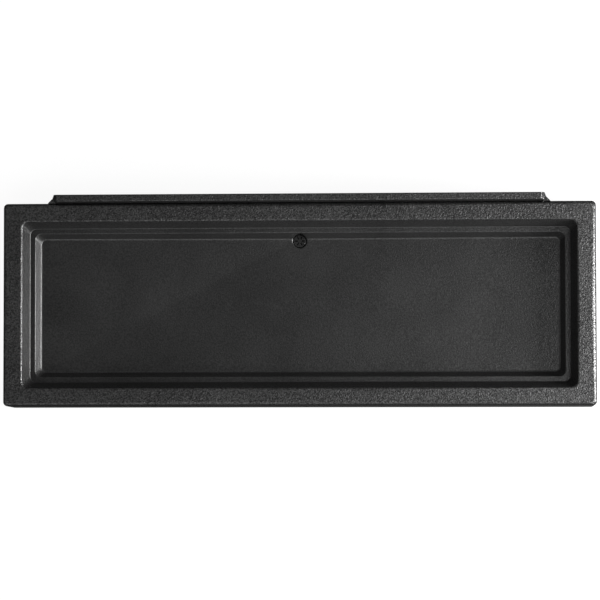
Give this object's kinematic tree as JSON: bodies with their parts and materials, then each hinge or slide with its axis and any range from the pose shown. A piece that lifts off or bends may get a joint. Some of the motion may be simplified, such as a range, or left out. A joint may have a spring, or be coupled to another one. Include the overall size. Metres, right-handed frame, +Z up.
{
  "type": "drip tray",
  "caption": "Moulded counter drip tray with a stepped well, a floor falling to a rear sump, a splash rail and a swivelling hose elbow.",
  "frame": {"origin": "centre of the whole object's bounding box in plan, at the level the edge feet rest on", "axes": "+X to the right along the width, +Y to the rear where the splash rail and the drain are, +Z up"},
  "size_m": [0.6096, 0.2186, 0.0685],
  "materials": {
    "grained_abs": "fine moulded grain, low sheen",
    "black_steel": "black oxide, satin",
    "zinc_steel": "bright zinc",
    "black_rubber": "matt",
    "black_polypropylene": "smooth satin moulding",
    "white_nylon": "natural nylon, satin",
    "stainless_spring": "stamped spring steel"
  },
  "bodies": {
    "tray": {"tray_shell": "grained_abs", "splash_rail": "grained_abs", "rail_screws": "black_steel", "rail_nuts": "zinc_steel", "edge_feet": "black_rubber", "spigot_gasket": "black_rubber", "drain_spigot": "black_polypropylene", "nut_washer": "white_nylon", "lock_nut": "black_polypropylene", "elbow_o_ring": "black_rubber"},
    "elbow": {"drain_elbow": "black_polypropylene", "retaining_clip": "stainless_spring"},
    "strainer": {"strainer": "black_polypropylene"}
  },
  "joints": [
    {"name": "elbow_swivel", "type": "hinge", "parent": "tray", "child": "elbow", "pos_m": [0, 0.0627, 0.007], "axis": [0, 0, 1], "continuous": true},
    {"name": "strainer_lift", "type": "slide", "parent": "tray", "child": "strainer", "axis": [0, 0, 1], "range_m": [0, 0.06]}
  ]
}
